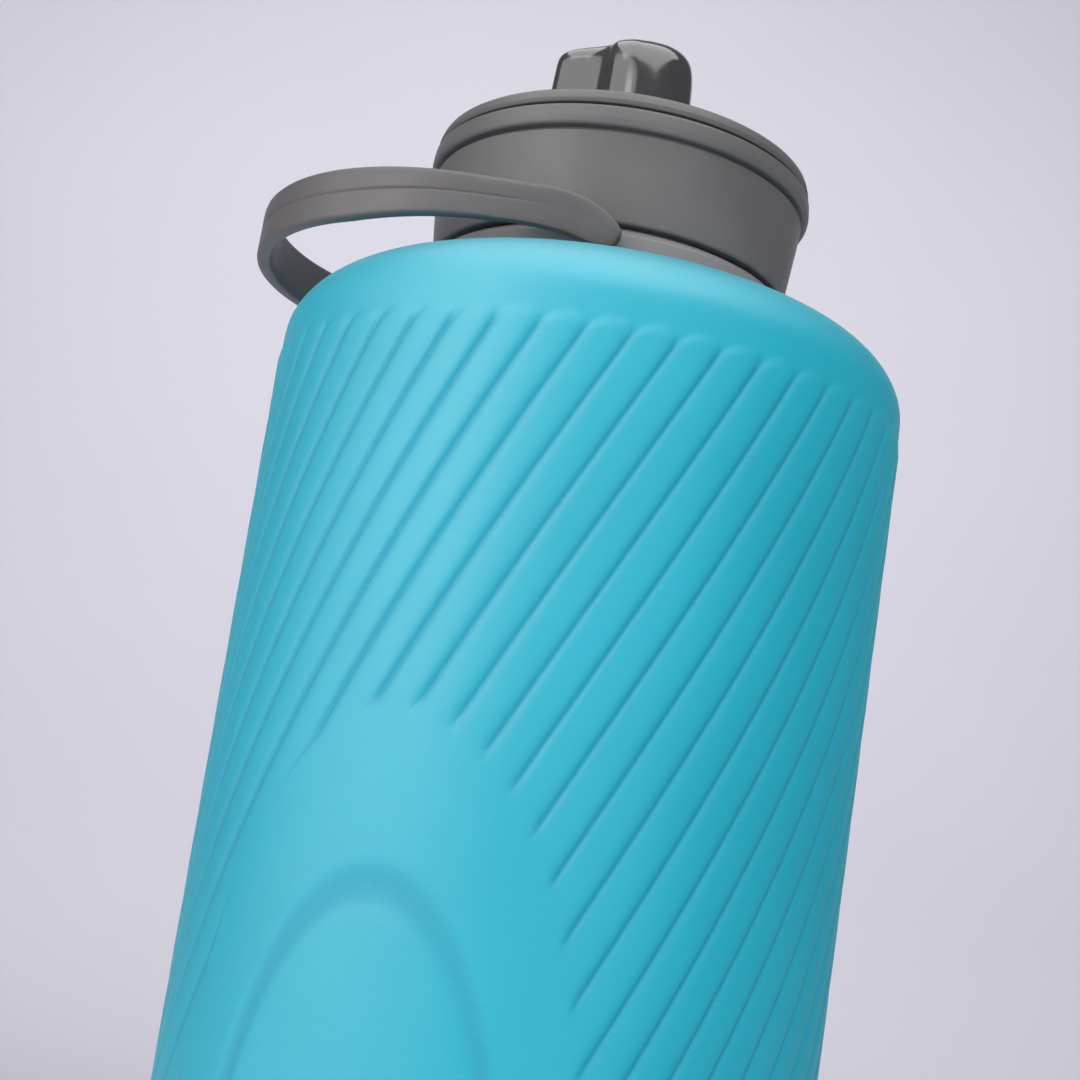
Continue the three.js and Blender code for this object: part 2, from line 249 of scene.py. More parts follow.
def smooth_step(value, low, high):
    t = np.clip((value - low) / (high - low), 0, 1)
    return t * t * (3 - 2 * t)


def bezier(p0, p1, p2, p3, count):
    t = np.linspace(0, 1, count)[:, None]
    p0, p1, p2, p3 = (np.array(p, float) for p in (p0, p1, p2, p3))
    return (1 - t) ** 3 * p0 + 3 * (1 - t) ** 2 * t * p1 + 3 * (1 - t) * t**2 * p2 + t**3 * p3


# ---------------------------------------------------------------- flexible body
RIBS = 50  # raised panels round the body
LEAN = 0.66  # degrees that a groove turns per millimetre of height
GROOVE_ANGLE = -84.0  # where one groove lies, 40 mm below the skirt
GROOVE_LEVEL = 40.0
PANEL_HEIGHT = 0.45
GROOVE_HALF = 0.45  # how soon a panel rises out of its groove
CORNER_ROUND = 1.6  # how far a panel's end is rounded off towards the grooves
BAND_SHARE = 0.35  # height of the plain bands past the panels' ends, as a share of the panels'
BAND_INSET = PANEL_HEIGHT * (1 - BAND_SHARE)
BAND_BLEND = (0.3, 4.5)  # heights over PANEL_TOP between which the upper band meets the shoulder
GROOVE_SLOPE = 27  # degrees between a groove and the upright
CORNER_REACH = 0.8  # how far from a groove its rounding of the panels' ends is felt
PANEL_TOP = SKIRT - 18.6
PANEL_BOTTOM = 17.0
END_OVER = 0.1  # a panel's end starts this far past its nominal level,
TOP_FADE = 2.2  # and is at its full height this far within it
BOTTOM_FADE = 2.0
LOW_RADIUS = 41.4
FOOT_RADIUS = 31.5
FOOT_CORNER = 10.0
FOOT_HANDLE = 6.6  # length of the foot curve's bezier handles
SHOULDER_RISE = 7.4  # how far the shoulder's bezier handles reach up, out and down
SHOULDER_RUN = 10
SHOULDER_DROP = 0.4
SHOULDER_END = 29  # radius where it meets the flat ring round the neck
BASE_HOLLOW = 1.6  # how far the middle of the base stands off the ground
WINDOW = {"angle": -112.0, "level": SKIRT - 130.0, "half_angle": 37.5, "half_height": 62.0}
WINDOW_EDGE = (0.985, 1.03)  # where its edge starts and ends, as shares of its size
FRAME_SHARE = 0.66  # size of the oval frame line within the window
FRAME_HALF = 1.5  # half the line's width, at its foot
FRAME_FLOOR = 0.3  # half the width of its flat bottom
FRAME_DEPTH = 0.55  # as a share of the panels' height
WALL = 1.1
NECK_HOLE = 24.9


def wall_radius(z):
    """Outer radius of the panels' faces at height z on the straight wall."""
    share = np.clip((z - FOOT_CORNER) / (PANEL_TOP - FOOT_CORNER), 0, 1)
    return LOW_RADIUS + (BODY_RADIUS - LOW_RADIUS) * share


def from_window_centre(angle, z):
    """0 in the middle of the plain oval window, 1 on its edge."""
    across = (angle - WINDOW["angle"]) / WINDOW["half_angle"]
    along = (z - WINDOW["level"]) / WINDOW["half_height"]
    return np.hypot(across, along)


def in_window(angle, z):
    """1 inside the window, 0 outside it, with a soft edge."""
    return 1 - smooth_step(from_window_centre(angle, z), *WINDOW_EDGE)


def frame_line(angle, z):
    """1 on a plain oval line inside the window, 0 off it."""
    share = np.abs(from_window_centre(angle, z) - FRAME_SHARE)
    off = share * math.radians(WINDOW["half_angle"]) * BODY_RADIUS
    return 1 - smooth_step(off, FRAME_FLOOR, FRAME_HALF)


def relief(angle, z):
    """Share of the panel height that stands at each point, and 1 clear of a groove to 0 in it; the
    second paints shade into the grooves' colour.
    """
    turned = angle - GROOVE_ANGLE - LEAN * (z - SKIRT + GROOVE_LEVEL)
    pitch = 360 / RIBS
    off_centre = np.abs((turned + pitch / 2) % pitch - pitch / 2)
    millimetres = np.radians(off_centre) * BODY_RADIUS * math.cos(math.radians(GROOVE_SLOPE))
    panel = 1 - np.exp(-millimetres / GROOVE_HALF)
    panel = np.maximum(panel, in_window(angle, z))
    panel = panel * (1 - FRAME_DEPTH * frame_line(angle, z))
    corner = CORNER_ROUND * np.exp(-millimetres / CORNER_REACH)
    top = 1 - smooth_step(z + corner, PANEL_TOP - TOP_FADE, PANEL_TOP + END_OVER)
    bottom = smooth_step(z - corner, PANEL_BOTTOM - END_OVER, PANEL_BOTTOM + BOTTOM_FADE)
    return BAND_SHARE + (panel - BAND_SHARE) * top * bottom, 1 - (1 - panel) * top * bottom


def body_skin():
    """The moulded body: grooved outer wall, rounded shoulder and foot, thin inside wall."""
    half_phases = np.array([0.15, 0.4, 0.7, 1.05, 1.5, 2.1, 3.0])  # degrees from the groove
    phases = np.concatenate([-half_phases[::-1], half_phases])
    grooves = GROOVE_ANGLE + np.arange(RIBS)[:, None] * (360 / RIBS)
    base_angles = (grooves + phases[None, :]).ravel()
    seam = WINDOW["angle"] - 180
    foot = bezier(
        (FOOT_RADIUS, 0),
        (FOOT_RADIUS + FOOT_HANDLE, 0),
        (LOW_RADIUS, FOOT_CORNER - FOOT_HANDLE),
        (LOW_RADIUS, FOOT_CORNER),
        14,
    )
    shoulder = bezier(
        (BODY_RADIUS, PANEL_TOP),
        (BODY_RADIUS, PANEL_TOP + SHOULDER_RISE),
        (SHOULDER_END + SHOULDER_RUN, SHELL_TOP - SHOULDER_DROP),
        (SHOULDER_END, SHELL_TOP),
        30,
    )
    # The rings lie closer together where the panels end.
    levels = np.concatenate([
        np.arange(FOOT_CORNER + 1, PANEL_BOTTOM - 0.4, 1.0),
        np.arange(PANEL_BOTTOM - 0.1, PANEL_BOTTOM + 3.5, 0.35),
        np.arange(PANEL_BOTTOM + 4, PANEL_TOP - 4.5, 1.0),
        np.arange(PANEL_TOP - 4.0, PANEL_TOP, 0.35),
    ])

    rings, share = [], []

    def add_ring(radius, z, lift=True):
        twist = LEAN * (np.clip(z, FOOT_CORNER, PANEL_TOP) - SKIRT + GROOVE_LEVEL)
        angle = base_angles + twist
        raised, clear = 1.0, np.ones_like(angle)
        if lift:
            wrapped = (angle - seam) % 360 + seam
            raised, clear = relief(wrapped, np.full_like(angle, z))
        size = radius - PANEL_HEIGHT * (1 - raised) + np.zeros_like(angle)
        a = np.radians(angle)
        rings.append(np.stack([size * np.cos(a), size * np.sin(a), np.full_like(a, z)], 1))
        share.append(clear)

    for radius, z in ((10, BASE_HOLLOW), (22, 1.5), (26.5, 1.2), (28, 0.5), (29.5, 0.05)):
        add_ring(radius, z, lift=False)
    for radius, z in foot:
        blend = z / FOOT_CORNER
        add_ring(radius - BAND_INSET * blend, z, lift=False)
    for z in levels:
        add_ring(wall_radius(z), z)
    for radius, z in shoulder:
        start, stop = (PANEL_TOP + height for height in BAND_BLEND)
        inset = BAND_INSET * (1 - smooth_step(np.array(z), start, stop))
        add_ring(radius - inset, z, lift=False)
    for radius, z in (
        (NECK_HOLE + 0.5, SHELL_TOP),
        (NECK_HOLE, SHELL_TOP - 0.4),
        (NECK_HOLE, SHELL_TOP - WALL),
    ):
        add_ring(radius, z, lift=False)
    for radius, z in shoulder[::-3]:
        slope = (SHELL_TOP - z) / (SHELL_TOP - PANEL_TOP)
        add_ring(radius - PANEL_HEIGHT - WALL * slope, z - WALL, lift=False)
    for z in np.linspace(PANEL_TOP - 12, FOOT_CORNER, 20):
        add_ring(wall_radius(z) - PANEL_HEIGHT - WALL, z, lift=False)
    for radius, z in foot[::-2]:
        hollow = BASE_HOLLOW * (1 - z / FOOT_CORNER)
        add_ring(radius - PANEL_HEIGHT - WALL, z + WALL + hollow, lift=False)
    add_ring(10, BASE_HOLLOW + WALL, lift=False)

    points, faces = from_rings(rings, start=(0, 0, BASE_HOLLOW), end=(0, 0, BASE_HOLLOW + WALL))
    skin = make_mesh("body_skin", points, faces, sharp=60)
    # This share paints shade into the colour of the grooves and the window's frame line, and makes
    # them rougher.
    shade = np.concatenate(share + [np.ones(2)])
    layer = skin.data.attributes.new("clear_of_groove", "FLOAT", "POINT")
    layer.data.foreach_set("value", shade.astype(np.float32))
    return skin


# ---------------------------------------------------------------- neck and collar
THREAD = {"lead": 6.0, "sweep": 360.0, "half_base": 0.75, "half_crest": 0.4}
THREAD_START = SKIRT + 2.5
HALF_PITCH = 1.5  # how far the cap's ridges sit above the neck's
THREAD_SUNK = 0.15  # into the wall that carries it
THREAD_HEIGHT = 1.6
NECK_BORE = 18.6
NECK_TUBE = 21.3
NECK_FLANGE = 29
NECK_ROOT = 24.5  # the thicker foot of the tube
NECK_BEAD = 23.2
FLANGE_TOP = SKIRT - 7.8
ROOT_TOP = SKIRT - 5.35
BEAD_HALF = 0.45
COLLAR_BORE = 21.7
COLLAR_RADIUS = 26
COLLAR_STEP = 0.5  # how far the collar's inner part is sunk
BOSS_RADIUS = 1.9
BOSS_END = 27.9
PIN_RADIUS = 1.0
PIN_END = 28.8  # short of the loop's outer face, which rolls in at its root


def screw_thread(base, crest, bottom):
    """Both starts of the neck's or the cap's thread."""
    return [
        wound_ridge(base, crest, bottom=bottom, start=turn, **THREAD)
        for turn in (0.0, 180.0)
    ]


def neck_piece():
    body = lathe([
        (NECK_BORE, NECK_BOTTOM, 0.5),
        (NECK_FLANGE, NECK_BOTTOM, 0.6),
        (NECK_FLANGE, FLANGE_TOP, 0.6),
        (NECK_ROOT, FLANGE_TOP, 0.2),
        (NECK_ROOT, ROOT_TOP, 0.4),
        (NECK_TUBE, ROOT_TOP, 0.3),
        (NECK_TUBE, SKIRT - BEAD_HALF, 0.1),
        (NECK_BEAD, SKIRT - BEAD_HALF, 0.25),
        (NECK_BEAD, SKIRT + BEAD_HALF, 0.3),
        (NECK_TUBE, SKIRT + 1.15, 0.5),
        (NECK_TUBE, NECK_LIP, 0.7),
        (NECK_BORE, NECK_LIP, 0.7),
    ])
    ridges = screw_thread(NECK_TUBE - THREAD_SUNK, NECK_TUBE + THREAD_HEIGHT, THREAD_START)
    return make_mesh("neck_fitment", *merged(body, *ridges))


def bar_along_y(x, z, radius, start, stop, soft=0.25, sides=40):
    """A round bar along Y, closed at both ends with a softened outer edge."""
    out = 1 if stop > start else -1
    spans = [
        (start, radius),
        (stop - out * soft, radius),
        (stop - out * soft * 0.3, radius - soft * 0.3),
        (stop, radius - soft),
    ]
    angle = np.arange(sides) / sides * TAU
    rings = [
        np.stack([x + r * np.cos(angle), np.full(sides, y), z + r * np.sin(angle)], 1)
        for y, r in spans
    ]
    points, faces = from_rings(rings, start=(x, start, z), end=(x, stop, z))
    if out > 0:
        faces = [tuple(reversed(f)) for f in faces]
    return points, faces


def collar_piece():
    ring = lathe([
        (COLLAR_BORE, COLLAR_BOTTOM, 0.2),
        (COLLAR_RADIUS, COLLAR_BOTTOM, 0.5),
        (COLLAR_RADIUS, COLLAR_TOP - 0.9, 0.5),
        (25.3, COLLAR_TOP, 0.4),
        (24.4, COLLAR_TOP, 0.15),
        (24.2, COLLAR_TOP - COLLAR_STEP, 0.15),
        (COLLAR_BORE, COLLAR_TOP - COLLAR_STEP, 0.2),
    ])
    x, _, z = PIVOT
    bosses = []
    for side in (-1, 1):
        bosses.append(bar_along_y(x, z, BOSS_RADIUS, side * 25, side * BOSS_END))
        bosses.append(
            bar_along_y(x, z, PIN_RADIUS, side * 27.5, side * PIN_END, soft=0.2, sides=28)
        )
    return make_mesh("collar_ring", *merged(ring, *bosses))


# ---------------------------------------------------------------- loop handle
STRAP_HALF_WIDTH = 29.2
STRAP_ARM = 19.1
STRAP_THICKNESS = 2.0
STRAP_BOTTOM = SKIRT - 5.2
STRAP_TOP = SKIRT + 2.0
STRAP_TIP = 1.7  # how far the loop's root reaches past the pivot
CREASE_LEVEL = 0.52  # of the line along the outer face, as a share of the band's height
CREASE_HALF = 0.035
CREASE_DEPTH = 0.2  # in half thicknesses
ROLL_DEPTH = 1.75  # in half thicknesses: how far the lower edge rolls in at the root
ROLL_TOP = 0.8  # share of the height below which it rolls in
ROLL_POWER = 1.2


def strap_edges(x):
    """Lower and upper edge of the band at x, measured from the pivot: the root curls down."""
    _, _, pz = PIVOT
    end = (STRAP_TIP, pz + 0.2)
    upper = bezier((-10.5, STRAP_TOP), (-4, STRAP_TOP + 0.5), (0, STRAP_TOP - 2), end, 60)
    lower = bezier(
        (-34, STRAP_BOTTOM),
        (-20, STRAP_BOTTOM + 1.2),
        (-9, STRAP_BOTTOM + 2.9),
        (-2.6, pz - 1.9),
        60,
    )
    tip = bezier((-0.5, pz - 2.05), (1, pz - 2.05), (1.8, pz - 1.3), end, 30)
    under = np.concatenate([lower, tip])
    return np.interp(x, under[:, 0], under[:, 1]), np.interp(x, upper[:, 0], upper[:, 1])


def band_section():
    """Outline of the band as (across, up), in -1..1 and 0..1, with a fine crease outside."""
    outer = [
        (1.0, 0.06), (1.0, 0.2), (1.0, 0.36), (0.99, 0.46), (0.97, 0.485),
        (1 - CREASE_DEPTH, CREASE_LEVEL),
        (0.97, 0.555), (0.99, 0.58), (1.0, 0.74), (0.97, 0.87),
    ]
    upper = [(0.84, 0.945), (0.6, 0.985), (0.3, 1.0), (-0.4, 1.0), (-0.75, 0.99), (-0.93, 0.965)]
    inner = [(-1.0, 0.92), (-1.0, 0.75), (-1.0, 0.5), (-1.0, 0.25), (-1.0, 0.08)]
    lower = [(-0.93, 0.035), (-0.75, 0.01), (-0.4, 0.0), (0.4, 0.0), (0.75, 0.01), (0.93, 0.03)]
    return outer + upper + inner + lower


def strap_piece():
    """A flat band bent into a stadium loop, with its two ends curling down onto the pins."""
    px, _, _ = PIVOT
    centre = -STRAP_ARM
    arm = np.concatenate([
        np.linspace(STRAP_TIP - 0.02, 0, 9),
        np.linspace(0, -11, 23)[1:],
        np.linspace(-11, centre, 7)[1:],
    ])
    front = [(x, -STRAP_HALF_WIDTH, 0.0, -1.0) for x in arm]
    sweep = np.radians(np.linspace(0, 180, 61))[1:-1]
    bend = []
    for a in sweep:
        out_x, out_y = -math.sin(a), -math.cos(a)
        bend.append((centre + STRAP_HALF_WIDTH * out_x, STRAP_HALF_WIDTH * out_y, out_x, out_y))
    back = [(x, STRAP_HALF_WIDTH, 0.0, 1.0) for x in arm[::-1]]
    section = band_section()
    rings = []
    for x, y, out_x, out_y in front + bend + back:
        bottom, top = strap_edges(x)
        ring = []
        roll = smooth_step(np.array(x), -17.0, -3.0)
        for across, up in section:
            if across > 0.75:
                # The crease fades out as the lower edge rolls in.
                crease = CREASE_DEPTH * max(0.0, 1 - abs(up - CREASE_LEVEL) / CREASE_HALF)
                rolled = ROLL_DEPTH * max(0.0, (ROLL_TOP - up) / ROLL_TOP) ** ROLL_POWER
                across += roll * (crease - rolled)
            offset = across * STRAP_THICKNESS / 2
            ring.append((px + x + out_x * offset, y + out_y * offset, bottom + (top - bottom) * up))
        rings.append(np.array(ring))
    points, faces = from_rings(rings)
    count = len(section)
    faces.append(tuple(reversed(range(count))))
    total = len(rings) * count
    faces.append(tuple(range(total - count, total)))
    return make_mesh("loop_strap", points, faces, sharp=50)


# ---------------------------------------------------------------- cap
CROWN = SKIRT + 12.3  # underside of the cap's top disc
POCKET_FLOOR = SKIRT + 13.8  # of the recess that holds the stem's flange
POCKET_RADIUS = 10.8
FLOW_RADIUS = 4.2
CAP_WALL = 23.7  # inside face that carries the thread
SKIRT_RADIUS = 25.7
BEAD_RADIUS = 27.9
CAP_GROOVE_RADIUS = 26.3  # radius at the bottom of the groove under the bead
CAP_GROOVE_TOP = SKIRT + 12.6
RIM_RISE = 0.5  # how far the bead's edge stands above the disc
DECK_HOLE = 5.7
DECK_RIM_RISE = 0.55  # how far the top plate's rim stands above its middle
DECK_SINK = 0.45  # and how far its flat ring is sunk
DECK_STEP = 0.5  # height of the narrow foot that makes the dark parting line
GASKET_INNER = 18.9
GASKET_OUTER = 23.1
GASKET_FILLET = 0.3


def cap_shell_piece():
    wall = lathe([
        (FLOW_RADIUS, POCKET_FLOOR, 0.3),
        (POCKET_RADIUS, POCKET_FLOOR, 0.2),
        (POCKET_RADIUS, CAP_TOP, 0.3),
        (26.0, CAP_TOP, 0.1),
        (26.2, CAP_TOP + RIM_RISE, 0.1),
        (26.9, CAP_TOP + RIM_RISE, 0.4),
        (27.75, CAP_TOP + 0.2, 0.6),
        (BEAD_RADIUS, SKIRT + 13.6, 0.7),
        (27.75, CAP_GROOVE_TOP, 0.5),
        (CAP_GROOVE_RADIUS, CAP_GROOVE_TOP, 0.1),
        (CAP_GROOVE_RADIUS, SKIRT + 12.2, 0.1),
        (27.0, SKIRT + 12.05, 0.12),
        (25.8, SKIRT + 1, 0.5),
        (SKIRT_RADIUS, SKIRT, 0.45),
        (24.1, SKIRT, 0.25),
        (CAP_WALL, SKIRT + 1.5, 0.3),
        (CAP_WALL, CROWN, 0.3),
        (FLOW_RADIUS, CROWN, 0.3),
    ])
    ridges = screw_thread(
        CAP_WALL + THREAD_SUNK, CAP_WALL - THREAD_HEIGHT, THREAD_START + HALF_PITCH
    )
    return make_mesh("cap_body", *merged(wall, *ridges))


def cap_deck_piece():
    plate = lathe([
        (DECK_HOLE, DECK_BOTTOM, 0.2),
        (25.7, DECK_BOTTOM, 0.1),
        (25.9, DECK_BOTTOM + DECK_STEP, 0.1),
        (27.2, DECK_BOTTOM + DECK_STEP, 0.2),
        (27.5, DECK_BOTTOM + 1.0, 0.35),
        (27.0, DECK_TOP + DECK_RIM_RISE, 1.1),
        (24.9, DECK_TOP + DECK_RIM_RISE, 0.5),
        (24.2, DECK_TOP - DECK_SINK, 0.5),
        (12.0, DECK_TOP - DECK_SINK, 0.4),
        (11.6, DECK_TOP, 0.4),
        (DECK_HOLE, DECK_TOP, 0.4),
    ])
    return make_mesh("cap_top_plate", *plate)


def gasket_piece():
    low, high = heights("cap_gasket")
    ring = lathe([
        (GASKET_INNER, low, GASKET_FILLET),
        (GASKET_OUTER, low, GASKET_FILLET),
        (GASKET_OUTER, high, GASKET_FILLET),
        (GASKET_INNER, high, GASKET_FILLET),
    ])
    return make_mesh("neck_gasket", *ring)


# ---------------------------------------------------------------- spout
KNOB_CORE = 7.9  # radius in the valleys between the finger lobes
# Each lobe's flats, as the direction a flat faces and its distance from the axis.
LONG_LOBE = (
    (178, 14.15),
    (148, 12.6),
    (208, 12.6),
    (113, 7.1),
    (243, 7.1),
    (63, 6.0),
    (293, 6.0),
    (358, 5.0),
)
FRONT_LOBE = (
    (-178, 5.3),
    (-130, 9.3),
    (-86, 11.0),
    (-42, 11.2),
    (2, 8.4),
    (48, 4.35),
    (108, 2.0),
)
BACK_LOBE = tuple((-turn, distance) for turn, distance in FRONT_LOBE)
LOBE_BLEND = 14  # how sharply the lobes and the core meet
FLAT_BLEND = 13  # how sharply a lobe's flats meet
KNOB_TUCK = SKIRT + 24.6  # below this the long lobe steps back
KNOB_TUCK_RADIUS = 12.3
KNOB_SIDES = 288
KNOB_DRAFT = 0.07  # straight narrowing towards the top
# The top rounds over by a share of the reach that grows as a power of the height. Towards
# the long lobe's end, at -X, it is flatter and turns over later.
DOME_SHARE, DOME_LESS_AT_LOBE = 0.3, 0.13
DOME_POWER, DOME_MORE_AT_LOBE = 11, 20
DOME_RINGS_SPAN = 4.5  # height of the close rings below the top
DOME_END = 4.4  # how far up them the last ring lies
KNOB_ROOF = SKIRT + 28.3  # top of the bore for the stem
KNOB_BORE = 5.6
KNOB_OUTLET = 3.4
SEAL_GROOVE = 7.0
SEAL_LOW, SEAL_HIGH = SKIRT + 18.75, SKIRT + 20.25
SEAL_STEPS = 20  # points round the O-ring's section
STEM_BORE = 3.7
STEM_RADIUS = 5.2
STEM_FLANGE = 10.4
STEM_FLANGE_TOP = SKIRT + 15.2
STEM_TUBE_TOP = SKIRT + 27
PIN_FOOT = SKIRT + 20
SEALING_PIN = 1.8
SEALING_HEAD = 3.1
ON_AXIS = 0.01  # radius that stands for a profile's point on the axis
RIB_HALF = 0.7
RIB_ARM = 4.2
CAM = {
    "base": 5.1,
    "crest": 6.0,
    "half_base": 0.6,
    "half_crest": 0.5,
    "lead": 12.0,
    "sweep": 50.0,
    "bottom": SKIRT + 24.6,
    "runout": 8.0,
}


def knob_reach(angle):
    """How far the knob reaches from its axis: a round core blended with softly flatted lobes."""
    total = np.full_like(angle, KNOB_CORE**LOBE_BLEND)
    for flats in (LONG_LOBE, FRONT_LOBE, BACK_LOBE):
        near = np.zeros_like(angle)
        for turn, distance in flats:
            near += (np.maximum(np.cos(angle - math.radians(turn)), 0) / distance) ** FLAT_BLEND
        total += near ** (-LOBE_BLEND / FLAT_BLEND)
    return total ** (1 / LOBE_BLEND)


def knob_piece():
    height = KNOB_TOP - KNOB_BOTTOM
    angle = np.arange(KNOB_SIDES) / KNOB_SIDES * TAU
    outline = knob_reach(angle)
    lobeward = np.maximum(-np.cos(angle), 0.01)
    tucked = np.minimum(outline, KNOB_TUCK_RADIUS / lobeward)
    rings = []

    def ring_at(radius, z):
        x, y = radius * np.cos(angle), radius * np.sin(angle)
        rings.append(np.stack([x, y, np.full_like(angle, z)], 1))

    def narrowing(z):
        level = (z - KNOB_BOTTOM) / height
        dome = DOME_SHARE - DOME_LESS_AT_LOBE * lobeward
        power = DOME_POWER + DOME_MORE_AT_LOBE * lobeward
        return 1 - KNOB_DRAFT * level - dome * level**power

    ring_at(tucked - 0.5, KNOB_BOTTOM)
    ring_at(tucked - 0.15, KNOB_BOTTOM + 0.15)
    ring_at(tucked, KNOB_BOTTOM + 0.5)
    ring_at(tucked * narrowing(KNOB_TUCK), KNOB_TUCK - 0.02)
    ring_at((outline - 0.45) * narrowing(KNOB_TUCK), KNOB_TUCK)
    ring_at((outline - 0.12) * narrowing(KNOB_TUCK), KNOB_TUCK + 0.12)
    dome_bottom = KNOB_TOP - DOME_RINGS_SPAN
    for z in np.linspace(KNOB_TUCK + 0.45, dome_bottom, 10):
        ring_at(outline * narrowing(z), z)
    for share in np.sin(np.radians(np.linspace(12, 88, 14))):
        z = dome_bottom + DOME_END * share
        ring_at(outline * narrowing(z), z)
    ring_at(outline * 0.6, KNOB_TOP)
    # Down the outlet and the bore, past the O-ring's groove, and back to the bottom face.
    for radius, z in (
        (4.75, KNOB_TOP - 0.05),
        (4.5, KNOB_TOP - 0.3),
        (KNOB_OUTLET + 0.2, SKIRT + 33.3),
        (KNOB_OUTLET, SKIRT + 32.9),
        (KNOB_OUTLET, KNOB_ROOF + 0.2),
        (KNOB_OUTLET + 0.2, KNOB_ROOF),
        (KNOB_BORE, KNOB_ROOF),
        (KNOB_BORE, SEAL_HIGH),
        (SEAL_GROOVE, SEAL_HIGH),
        (SEAL_GROOVE, SEAL_LOW),
        (KNOB_BORE, SEAL_LOW),
        (KNOB_BORE + 0.1, KNOB_BOTTOM),
    ):
        ring_at(radius, z)
    points, faces = from_rings(rings, closed=True)
    return make_mesh("twist_spout", points, faces, sharp=38)


def stem_piece():
    tube = lathe([
        (STEM_BORE, STEM_BOTTOM, 0.2),
        (STEM_FLANGE, STEM_BOTTOM, 0.2),
        (STEM_FLANGE, STEM_FLANGE_TOP, 0.3),
        (STEM_RADIUS, STEM_FLANGE_TOP, 0.4),
        (STEM_RADIUS, STEM_TUBE_TOP, 0.5),
        (STEM_BORE, STEM_TUBE_TOP, 0.3),
    ], sides=96)
    pin = lathe([
        (ON_AXIS, PIN_FOOT, 0),
        (SEALING_PIN, PIN_FOOT, 0.3),
        (SEALING_PIN, SKIRT + 29, 0.5),
        (SEALING_HEAD, SKIRT + 29.2, 0.3),
        (SEALING_HEAD, STEM_TOP, 0.6),
        (ON_AXIS, STEM_TOP, 0),
    ], sides=64)
    lugs = [wound_ridge(start=turn, **CAM) for turn in (0.0, 180.0)]
    return make_mesh("spout_post", *merged(tube, pin, rib(), rib(crossed=True), *lugs))


def rib(crossed=False):
    """One arm of the cross that holds the sealing pin in the stem."""
    corners = [(x * RIB_HALF, y * RIB_ARM) for x, y in ((-1, -1), (1, -1), (1, 1), (-1, 1))]
    if crossed:
        corners = [(-y, x) for x, y in corners]
    levels = (PIN_FOOT, STEM_TUBE_TOP - 0.1)
    points = [np.array((x, y, z)) for z in levels for x, y in corners]
    faces = [(3, 2, 1, 0), (4, 5, 6, 7), (0, 1, 5, 4), (1, 2, 6, 5), (2, 3, 7, 6), (3, 0, 4, 7)]
    return points, faces


def ring_seal_piece():
    low, high = heights("stem_o_ring")
    radius = (high - low) / 2
    centre = reach("stem_o_ring") - radius
    middle = (low + high) / 2
    rings = []
    for step in range(SEAL_STEPS):
        a = -step / SEAL_STEPS * TAU
        rings.append(circle(centre + radius * math.cos(a), middle - radius * math.sin(a), 96))
    points, faces = from_rings(rings, closed=True)
    return make_mesh("stem_seal", points, faces)


# ---------------------------------------------------------------- materials
NOISE_LOW, NOISE_HIGH = 0.3, 0.7  # the range that most of a noise texture falls in
MIX_SHARE, MIX_FIRST, MIX_SECOND, MIX_RESULT = 0, 6, 7, 2  # a Mix node's colour sockets
GROOVE_DULLNESS = 0.3  # how much rougher the grooves are than the panels


def new_material(name, colour, roughness, specular=0.5):
    material = bpy.data.materials.new(name)
    material.use_nodes = True
    shader = material.node_tree.nodes["Principled BSDF"]
    shader.inputs["Base Color"].default_value = (*colour, 1)
    shader.inputs["Roughness"].default_value = roughness
    shader.inputs["Specular IOR Level"].default_value = specular
    return material, shader


def noise(tree, scale, detail=2, roughness=0.5):
    """A noise texture in the object's own space; scale is in repeats per metre."""
    place = tree.nodes.new("ShaderNodeTexCoord")
    texture = tree.nodes.new("ShaderNodeTexNoise")
    texture.inputs["Scale"].default_value = scale
    texture.inputs["Detail"].default_value = detail
    texture.inputs["Roughness"].default_value = roughness
    tree.links.new(place.outputs["Object"], texture.inputs["Vector"])
    return texture.outputs["Fac"]


def remap(tree, value, low, high):
    """Spreads a noise over low to high."""
    node = tree.nodes.new("ShaderNodeMapRange")
    node.inputs["From Min"].default_value = NOISE_LOW
    node.inputs["From Max"].default_value = NOISE_HIGH
    node.inputs["To Min"].default_value = low
    node.inputs["To Max"].default_value = high
    tree.links.new(value, node.inputs["Value"])
    return node.outputs["Result"]


def add(tree, value, amount):
    node = tree.nodes.new("ShaderNodeMath")
    node.inputs[1].default_value = amount
    tree.links.new(value, node.inputs[0])
    return node.outputs["Value"]


def mix_colours(tree, share, first, second):
    """Mixes two colours; the second may be another node's output."""
    node = tree.nodes.new("ShaderNodeMix")
    node.data_type = "RGBA"
    node.inputs[MIX_FIRST].default_value = (*first, 1)
    if isinstance(second, tuple):
        node.inputs[MIX_SECOND].default_value = (*second, 1)
    else:
        tree.links.new(second, node.inputs[MIX_SECOND])
    tree.links.new(share, node.inputs[MIX_SHARE])
    return node.outputs[MIX_RESULT]


def add_bump(tree, shader, height, distance, strength):
    node = tree.nodes.new("ShaderNodeBump")
    node.inputs["Distance"].default_value = distance
    node.inputs["Strength"].default_value = strength
    tree.links.new(height, node.inputs["Height"])
    tree.links.new(node.outputs["Normal"], shader.inputs["Normal"])


